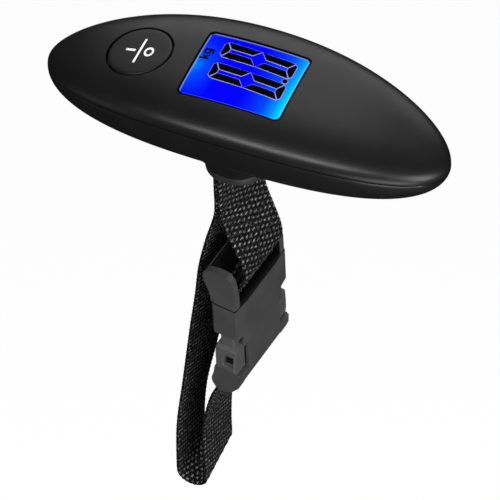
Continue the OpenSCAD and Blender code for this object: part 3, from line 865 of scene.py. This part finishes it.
def printed(name, outlines, thickness=0.06, lift=0.0):
    """Flat print on the top surface; each outline is a list of points in X and Y."""
    verts, faces = [], []
    for outline in outlines:
        fine = finer(outline)
        k = len(verts)
        n = len(fine)
        for d in (0, thickness):
            verts += [(x, y, top_z(x, y) + lift + thickness - d) for x, y in fine]
        faces.append(tuple(range(k, k + n)))
        faces.append(tuple(range(k + n, k + 2 * n))[::-1])
        faces += [(k + (i + 1) % n, k + i, k + n + i, k + n + (i + 1) % n) for i in range(n)]
    return turned_outward(mesh_object(name, verts, faces, smooth=False))


def bar_shape(x0, y0, x1, y1, t):
    """A straight bar from one point to another, t thick."""
    d = Vector((x1 - x0, y1 - y0)).normalized()
    s = Vector((-d.y, d.x)) * t / 2
    return [(x0 + s.x, y0 + s.y), (x0 - s.x, y0 - s.y), (x1 - s.x, y1 - s.y), (x1 + s.x, y1 + s.y)]


def ring_shapes(cx, cy, r, t, turn, n=24, squeeze=0.8):
    """A ring as a row of small quads that overlap a little, so that it follows the curved cap."""
    shapes = []
    for i in range(n):
        quad = []
        for a, q in [(i, r), (i + 1.02, r), (i + 1.02, r - t), (i, r - t)]:
            w = 2 * math.pi * a / n
            x, y = q * math.cos(w), q * squeeze * math.sin(w)
            quad.append((cx + x * math.cos(turn) - y * math.sin(turn),
                         cy + x * math.sin(turn) + y * math.cos(turn)))
        shapes.append(quad)
    return shapes


DIVIDER_HALF_L, DIVIDER_T = 5.6, 0.75
MARK_BAR_START, MARK_BAR_END, MARK_BAR_T = -42.6, -39.2, 0.95
MARK_RING_X, MARK_RING_R, MARK_RING_T = -34.3, 2.1, 0.85
MARK_LIFT = -0.1


def make_marks():
    """The button's print: a divider across the middle, a bar on one side and a ring on the other."""
    divider = bar_shape(BUTTON_X, DIVIDER_HALF_L, BUTTON_X, -DIVIDER_HALF_L, DIVIDER_T)
    bar = bar_shape(MARK_BAR_START, 0, MARK_BAR_END, 0, MARK_BAR_T)
    ring = ring_shapes(MARK_RING_X, 0, MARK_RING_R, MARK_RING_T, math.pi / 2)
    marks = printed("button_marks", [divider, bar] + ring, lift=MARK_LIFT)
    finish_piece(marks, "button", "button", MARK)


make_marks()

# ---- display ----

LIT_DROP = 0.55
LENS_TOP, LENS_UNDER = 0.14, 0.36
GLASS_BOTTOM = 3.9
PANEL_GAP = 0.2
TOP_STEPS = [0.02, 0.2, 0.4, 0.6, 0.8, 0.93]
# how far the rim's rings lie outside the window's edge, and how far over the top surface
RIM_PROFILE = [
    (-0.1, -0.6), (-0.1, -0.05), (-0.06, 0.02), (0.1, 0.04), (0.35, 0.03), (0.5, 0), (0.5, -0.6),
]


def skin_patch(name, outline, tops, under):
    """A slab under the skin: rings (scale, depth) over its top, then its underside at heights under(x, y)."""
    points = finer(outline, 1.5)
    rings = [under_top([(x * f, y * f) for x, y in points], depth) for f, depth in tops]
    for f in (1, 0.8, 0.4, 0.02):
        rings.append([(x * f, y * f, under(x * f, y * f)) for x, y in points])
    return loft(name, rings)


def make_display():
    """The lens, the dark rim round it, whose near-black is painted shade at the window's edge, and the lit
    glass below.
    """
    length, width = WINDOW_L - PANEL_GAP, WINDOW_W - PANEL_GAP
    tops = [(f, LENS_TOP) for f in TOP_STEPS + [0.985]] + [(0.995, 0.2), (1, 0.3)]
    window = skin_patch("window_lens", rounded_rect(length, width, WINDOW_R, 6), tops,
                        lambda x, y: top_z(x, y) - LENS_UNDER)
    finish_piece(window, "housing", "window", CLEAR, "display_window")
    edge = finer(rounded_rect(WINDOW_L, WINDOW_W, WINDOW_R), 1.5)
    rings = []
    for grow, up in RIM_PROFILE:
        longer, wider = 1 + 2 * grow / WINDOW_L, 1 + 2 * grow / WINDOW_W
        rings.append(under_top([(x * longer, y * wider) for x, y in edge], -up))
    rings.append(rings[0])
    finish_piece(loft("window_rim", rings, ends=False), "housing", "shell", GAP_SHADE)
    glass = skin_patch("lcd_panel", rounded_rect(length, width, WINDOW_R),
                       [(f, LIT_DROP) for f in TOP_STEPS + [1]], lambda x, y: GLASS_BOTTOM)
    finish_piece(glass, "housing", "display", BLUE, "lcd_glass")


make_display()

DIGIT_H, DIGIT_W, SEGMENT_T, SLANT = 26.2, 7.1, 2.7, -0.05
SEGMENT_GAP, SEGMENT_CORNER = 0.14, 1.2
DIGIT_TOP, DIGIT_SIDES = -11.35, (-5.2, 4.7)
POINT_X, POINT_Y, POINT_R = 13.4, 2.0, 0.95
PRINT_T, SEGMENT_LIFT, PALE_EDGE = 0.03, 0.1, 0.15
# the strokes of the unit sign, as x and y at both ends and a thickness; its round letter is a ring
UNIT_STROKES = [
    (-17.2, 2.3, -14.0, 2.5, 0.8), (-15.0, 2.5, -16.4, 4.0, 0.7), (-15.6, 2.9, -14.0, 4.1, 0.7),
    (-16.6, 6.6, -14.0, 6.6, 0.8), (-13.8, 6.9, -13.4, 4.9, 0.7),
]
UNIT_RING_X, UNIT_RING_Y, UNIT_RING_R, UNIT_RING_T = -15.5, 5.6, 1.3, 0.7


def segments_of_zero(x0, y0):
    """The six lit segments of a 0 whose top is at x0; down is +X and right is +Y."""
    g, c, w, t = SEGMENT_GAP, SEGMENT_CORNER, DIGIT_W, SEGMENT_T
    mid = DIGIT_H / 2
    shapes = []
    end = [(g, c), (g, w - c), (c * 0.7, w - c * 0.35), (t - 0.1, w - t - g), (t - 0.1, t + g),
           (c * 0.7, c * 0.35)]
    side = [(c, g), (t + g, t), (mid - 2.4, t), (mid - g * 1.6, g), (c + 0.4, 0)]
    for flip in (1, -1):
        shapes.append([(mid + (x - mid) * flip, y) for x, y in end])
        for across in (1, -1):
            shapes.append([(mid + (x - mid) * flip, w / 2 + (y - w / 2) * across) for x, y in side])
    return [[(x0 + x, y0 + y + SLANT * x) for x, y in shape] for shape in shapes]


def grown(shape, d):
    """The outline moved outwards by d, corner by corner."""
    n = len(shape)
    area = sum(x0 * y1 - x1 * y0 for (x0, y0), (x1, y1) in zip(shape, shape[1:] + shape[:1]))
    out = []
    for i in range(n):
        a, b, c = Vector(shape[i - 1]), Vector(shape[i]), Vector(shape[(i + 1) % n])
        u, v = (b - a).normalized(), (c - b).normalized()
        normal = (Vector((u.y, -u.x)) + Vector((v.y, -v.x))) * math.copysign(1, area)
        out.append(tuple(b + normal.normalized() * min(d * 1.6, d / max(0.3, normal.length / 2))))
    return out


def make_digits():
    """Two zeros with a point between them, their pale edges, and the unit sign for kilograms."""
    lit = segments_of_zero(DIGIT_TOP, DIGIT_SIDES[0]) + segments_of_zero(DIGIT_TOP, DIGIT_SIDES[1])
    lit.append(circle(POINT_X, POINT_Y, POINT_R, 20))
    edges = printed("segment_edges", [grown(s, PALE_EDGE) for s in lit], PRINT_T, -LIT_DROP)
    finish_piece(edges, "housing", "display", OUTLINE)
    segments = printed("segments", lit, PRINT_T, SEGMENT_LIFT - LIT_DROP)
    finish_piece(segments, "housing", "display", SEGMENT)
    unit = [bar_shape(*stroke) for stroke in UNIT_STROKES]
    unit += ring_shapes(UNIT_RING_X, UNIT_RING_Y, UNIT_RING_R, UNIT_RING_T, 0, 20, 1)
    sign = printed("unit_sign", unit, PRINT_T, PRINT_T - LIT_DROP)
    finish_piece(sign, "housing", "display", SEGMENT)


make_digits()

# ---- webbing ----

# lines of (t, z) points, with t square to the flat of the webbing
FRONT_LINE = [(-3.9, -33), (-4.1, -42), (-4.15, -51), (-3.8, -56), (-2.6, -61.5), (0.2, -68.5), (3, -76),
              (3.9, -82), (2.7, -86.5), (0.8, -89.6), (-0.1, -91.6), (-0.2, -93.2)]
LONG_LINE = [(-5.4, -33), (-5.62, -42), (-5.75, -51), (-6.3, -56), (-7.8, -61.5), (-11.3, -72.5),
             (-14.8, -87), (-17.2, -104), (-20.8, -127), (-25.3, -158), (-28.9, -183), (-30.1, -207)]
RETURN_LINE = [(-18.9, -207), (-18.9, -195), (-18.3, -180), (-14.4, -162), (-9.8, -151), (-6.8, -145.6),
               (-4, -143.05)]
PLUG_BAR, TAIL_BAR, BUCKLE_BAR_R = (-2.8, -93.2), (-4, -140.5), 1.8
TURN_CENTRE, TURN_R = (-24.5, -209.3), 5.6
COLLAR_TURN = math.radians(-6.5)
NECK_TURN_TOP = -20
SETTLE_TOP, SETTLE_BOTTOM = -48, -88
UNTWIST_TOP, UNTWIST_BOTTOM = -145, -207
LOOP_R = 0.05 + WEB_T / 2


def arc(centre, r, start, end, n):
    """Points on an arc round a centre, with the angles in degrees."""
    angles = [math.radians(start + (end - start) * i / n) for i in range(n + 1)]
    return [Vector((centre[0] + r * math.cos(a), centre[1] + r * math.sin(a))) for a in angles]


def curve(points, n=8):
    """A smooth line through the points."""
    p = [Vector(q) for q in points]
    out = []
    for i in range(len(p) - 1):
        a, b, c, d = p[max(i - 1, 0)], p[i], p[i + 1], p[min(i + 2, len(p) - 1)]
        for k in range(n):
            t = k / n
            out.append(0.5 * (2 * b + (c - a) * t + (2 * a - 5 * b + 4 * c - d) * t * t
                              + (3 * b - a - 3 * c + d) * t ** 3))
    return out + [p[-1]]


def even(points, step):
    """Points at an even distance along a line."""
    p = [Vector(q) for q in points]
    lengths = [0]
    for a, b in zip(p, p[1:]):
        lengths.append(lengths[-1] + (b - a).length)
    n = max(2, round(lengths[-1] / step))
    out, i = [], 0
    for k in range(n + 1):
        s = lengths[-1] * k / n
        while i < len(p) - 2 and lengths[i + 1] < s:
            i += 1
        f = (s - lengths[i]) / max(1e-9, lengths[i + 1] - lengths[i])
        out.append(p[i].lerp(p[i + 1], min(1, f)))
    return out, lengths[-1]


def relaxed(points, rounds):
    """The line with its corners smoothed out."""
    p = [q.copy() for q in points]
    for _ in range(rounds):
        p = [p[0]] + [(p[i - 1] + p[i] * 2 + p[i + 1]) / 4 for i in range(1, len(p) - 1)] + [p[-1]]
    return p


def ease(f):
    """A smooth step from 0 to 1."""
    g = min(1, max(0, f))
    return g * g * (3 - 2 * g)


def turn_at(z):
    """Turn of the webbing about Z at each height."""
    return ease((NECK_TURN_TOP - z) / (NECK_TURN_TOP - MOUTH_Z)) * (
        SLING_TURN * ease((z - UNTWIST_BOTTOM) / (UNTWIST_TOP - UNTWIST_BOTTOM))
        + COLLAR_TURN * ease((z - SETTLE_BOTTOM) / (SETTLE_TOP - SETTLE_BOTTOM)))


# width of a column of yarn, length of a pick and depth of the relief
COLUMN, PICK, RELIEF = 2.1, 2.4, 0.18
RIBBON_COLUMNS = 64
SELVEDGE, EDGE_HALF_T, LEAST_HALF_T = 0.8, 0.08, 0.06
TUCK, TUCK_PITCH = 0.34, 1.6
# keeps the two faces apart in the yarn's pattern
FACE_OFFSET = 3.0


def weave(w, s):
    """Height, 0 to 1, of the yarns at w across and s along the webbing."""
    column = math.floor(w / COLUMN)
    across = abs(math.sin(math.pi * (w / COLUMN - column)))
    along = 0.5 + 0.5 * math.cos(2 * math.pi * (s / PICK + 0.5 * (column % 2)))
    return across ** 0.6 * (0.12 + 0.88 * along ** 1.5)


def turned(t, w, z, turn):
    """A point of the webbing, at t and w, turned about Z."""
    return (t * math.cos(turn) - w * math.sin(turn), t * math.sin(turn) + w * math.cos(turn), z)


def ribbon(name, line, step=0.42):
    """Webbing along a line of (t, z) points, turned about Z, with its weave in the surface."""
    points, length = even(line, step)
    points = relaxed(points, 2)
    rows = len(points)
    verts, place, height = [], [], []
    for i, p in enumerate(points):
        v = points[min(i + 1, rows - 1)] - points[max(i - 1, 0)]
        normal = Vector((-v.y, v.x)).normalized()
        s = length * i / (rows - 1)
        turn = turn_at(p.y)
        for side in (1, -1):
            for j in range(RIBBON_COLUMNS + 1):
                w = side * (2 * j / RIBBON_COLUMNS - 1) * WEB_W / 2
                rim = max(0, abs(w) - (WEB_W / 2 - SELVEDGE)) / SELVEDGE
                half = WEB_T / 2 * math.sqrt(max(0.0, 1 - rim ** 2))
                if rim >= 1:
                    half = EDGE_HALF_T
                bead = weave(w, s + (0 if side > 0 else PICK / 2))
                h = max(half - RELIEF * (1 - bead) * (1 - 0.6 * rim), LEAST_HALF_T)
                tuck = TUCK * (0.5 + 0.5 * math.cos(2 * math.pi * s / TUCK_PITCH)) * rim
                w -= math.copysign(tuck, w) if rim > 0 else 0
                verts.append(turned(p.x + normal.x * h * side, w, p.y + normal.y * h * side, turn))
                place.append((w, s, side * FACE_OFFSET))
                height.append(bead)
    m = 2 * (RIBBON_COLUMNS + 1)
    faces = tube_faces(rows, m)
    for base in (0, (rows - 1) * m):
        for j in range(RIBBON_COLUMNS):
            quad = (base + j, base + j + 1, base + m - 2 - j, base + m - 1 - j)
            faces.append(quad if base else quad[::-1])
    ob = mesh_object(name, verts, faces)
    ob.data.attributes.new("strap_place", "FLOAT_VECTOR", "POINT").data.foreach_set(
        "vector", [c for p in place for c in p])
    ob.data.attributes.new("strap_height", "FLOAT", "POINT").data.foreach_set("value", height)
    return turned_outward(ob, merge=False)


def make_straps():
    """The three pieces of webbing; the neck's and the long one are tied to no body."""
    neck = ribbon("neck_webbing", [Vector((-5.4, -33)), Vector((-5.7, -25))]
                  + arc(BAR, BAR_R + LOOP_R, 180, 0, 24)
                  + curve([(-1.2, -20.5), (-2.9, -27), (-3.9, -33)]))
    finish_piece(neck, None, "webbing", WEBBING, "strap_neck")
    buckle_r = BUCKLE_BAR_R + LOOP_R
    front = ribbon("front_webbing", curve(FRONT_LINE)
                   + arc(PLUG_BAR, buckle_r, -15, -180, 20)
                   + [Vector((-5.35, -91))])
    finish_piece(front, "sling", "webbing", WEBBING, "strap_front")
    long = ribbon("long_webbing", curve(LONG_LINE)
                  + arc(TURN_CENTRE, TURN_R, 190, 350, 24)
                  + curve(RETURN_LINE)
                  + arc(TAIL_BAR, buckle_r, -80, 175, 24)
                  + [Vector((-6.6, -141.6))])
    finish_piece(long, None, "webbing", WEBBING, "strap_long")
    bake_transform(neck)
    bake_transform(long)


make_straps()

# ---- stitching ----

STITCH_ROWS = (-44, -46.5, -49)
STITCHES, STITCH_PITCH = 12, 2
STITCH_T = -3.3
STITCH_R, STITCH_HALF_L, STITCH_FLATNESS = 0.26, 0.8, 0.8
GRAIN_RINGS, GRAIN_SIDES = 7, 8


def make_stitching():
    """Rows of short lockstitches, each a rounded grain of thread pressed into the webbing."""
    verts, faces = [], []
    for z in STITCH_ROWS:
        turn = turn_at(z)
        for k in range(STITCHES):
            middle = STITCH_PITCH * (k - (STITCHES - 1) / 2)
            first = len(verts)
            for i in range(GRAIN_RINGS):
                f = -1 + 2 * i / (GRAIN_RINGS - 1)
                r = STITCH_R * math.sqrt(max(0.02, 1 - f * f * 0.9))
                for j in range(GRAIN_SIDES):
                    a = 2 * math.pi * j / GRAIN_SIDES
                    t = STITCH_T + r * math.cos(a) * STITCH_FLATNESS
                    verts.append(turned(t, middle + STITCH_HALF_L * f, z + r * math.sin(a), turn))
            faces += tube_faces(GRAIN_RINGS, GRAIN_SIDES, first)
            last = len(verts) - GRAIN_SIDES
            faces.append(tuple(first + j for j in range(GRAIN_SIDES))[::-1])
            faces.append(tuple(last + j for j in range(GRAIN_SIDES)))
    stitches = turned_outward(mesh_object("stitches", verts, faces))
    finish_piece(stitches, "sling", "thread", THREAD, "strap_stitching")


make_stitching()

# ---- buckle, battery cover and casing screws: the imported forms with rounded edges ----

finish_piece(refined("buckle_plug", "plug", 0.7, 4), "sling", "buckle", PLUG)
finish_piece(refined("buckle_socket", "socket_shell", 0.4), "socket", "buckle", BUCKLE)
finish_piece(refined("buckle_arm_near", "near_arm", 0.45), "arm_near", "press_pad", PAD)
finish_piece(refined("buckle_arm_far", "far_arm", 0.45), "arm_far", "press_pad", PAD)
finish_piece(refined("battery_cover", "cell_cover", 0.25), "cover", "shell", SHELL)
finish_piece(refined("casing_screws", "shell_screws", 0.12, 2), "housing", "steel", STEEL)

# ---- floor and light ----

FLOOR_R, FLOOR_Z = 3000, -2600
DOME_R = 4800
PALE_FLOOR, PALE_BACKDROP = 0.93, 0.97
WORLD_COLOUR, WORLD_STRENGTH = (0.9, 0.92, 1, 1), 0.018
LIGHT_TARGET = Vector((0, 0, -0.03))


def only_seen(ob):
    """A stage surface that the camera sees and that neither lights the object nor shows in its gloss."""
    ob.visible_glossy = False
    ob.visible_diffuse = False
    ob.visible_transmission = False


def pale(name, colour, rough, strength):
    """A matt material with an even white glow."""
    n = Nodes(name)
    n.set(Base__Color=colour, Roughness=rough, Specular__IOR__Level=0.0,
          Emission__Color=(1, 1, 1, 1), Emission__Strength=strength)
    return n.material


def make_stage():
    """A pale floor far below, and a pale dome round everything."""
    outline = circle(0, 0, FLOOR_R, 64)
    floor = mesh_object("floor", flat_ring(outline, FLOOR_Z), [tuple(range(len(outline)))], smooth=False)
    floor.data.materials.append(pale("floor_pale", (0.5, 0.5, 0.5, 1), 0.9, PALE_FLOOR))
    only_seen(floor)
    angles = [math.radians(degrees) for degrees in range(-80, 81, 10)]
    rings = [flat_ring(circle(0, 0, DOME_R * math.cos(a), 64), DOME_R * math.sin(a)) for a in angles]
    dome = loft("backdrop", rings)
    dome.data.materials.append(pale("backdrop_pale", (0, 0, 0, 1), 1.0, PALE_BACKDROP))
    dome.visible_shadow = False
    only_seen(dome)


def softbox(name, direction, distance, size, power):
    """An area light that looks at the handle from a direction."""
    data = bpy.data.lights.new(name, "AREA")
    data.shape = "RECTANGLE"
    data.size, data.size_y = size
    data.energy = power
    lamp = bpy.data.objects.new(name, data)
    lamp.location = LIGHT_TARGET + Vector(direction).normalized() * distance
    lamp.rotation_euler = (LIGHT_TARGET - lamp.location).to_track_quat("-Z", "Y").to_euler()
    scene.collection.objects.link(lamp)


def make_world():
    world = bpy.data.worlds.new("studio")
    scene.world = world
    world.use_nodes = True
    background = world.node_tree.nodes["Background"]
    background.inputs["Color"].default_value = WORLD_COLOUR
    background.inputs["Strength"].default_value = WORLD_STRENGTH


make_stage()
make_world()
softbox("back_softbox", (-0.15, 0.85, 0.42), 1.3, (1.5, 0.7), 4.8)
softbox("top_softbox", (-0.1, 0.6, 0.8), 1.5, (0.9, 0.4), 2.0)
softbox("front_strip", (0.03, -0.61, 0.72), 1.6, (1.6, 0.3), 16)
softbox("low_softbox", (0.6, -0.75, -0.4), 1.3, (0.7, 0.4), 4.2)
softbox("right_softbox", (0.95, -0.35, 0.15), 1.3, (0.5, 0.8), 8)
softbox("left_softbox", (-0.8, -0.6, -0.1), 1.3, (0.5, 0.8), 0.5)
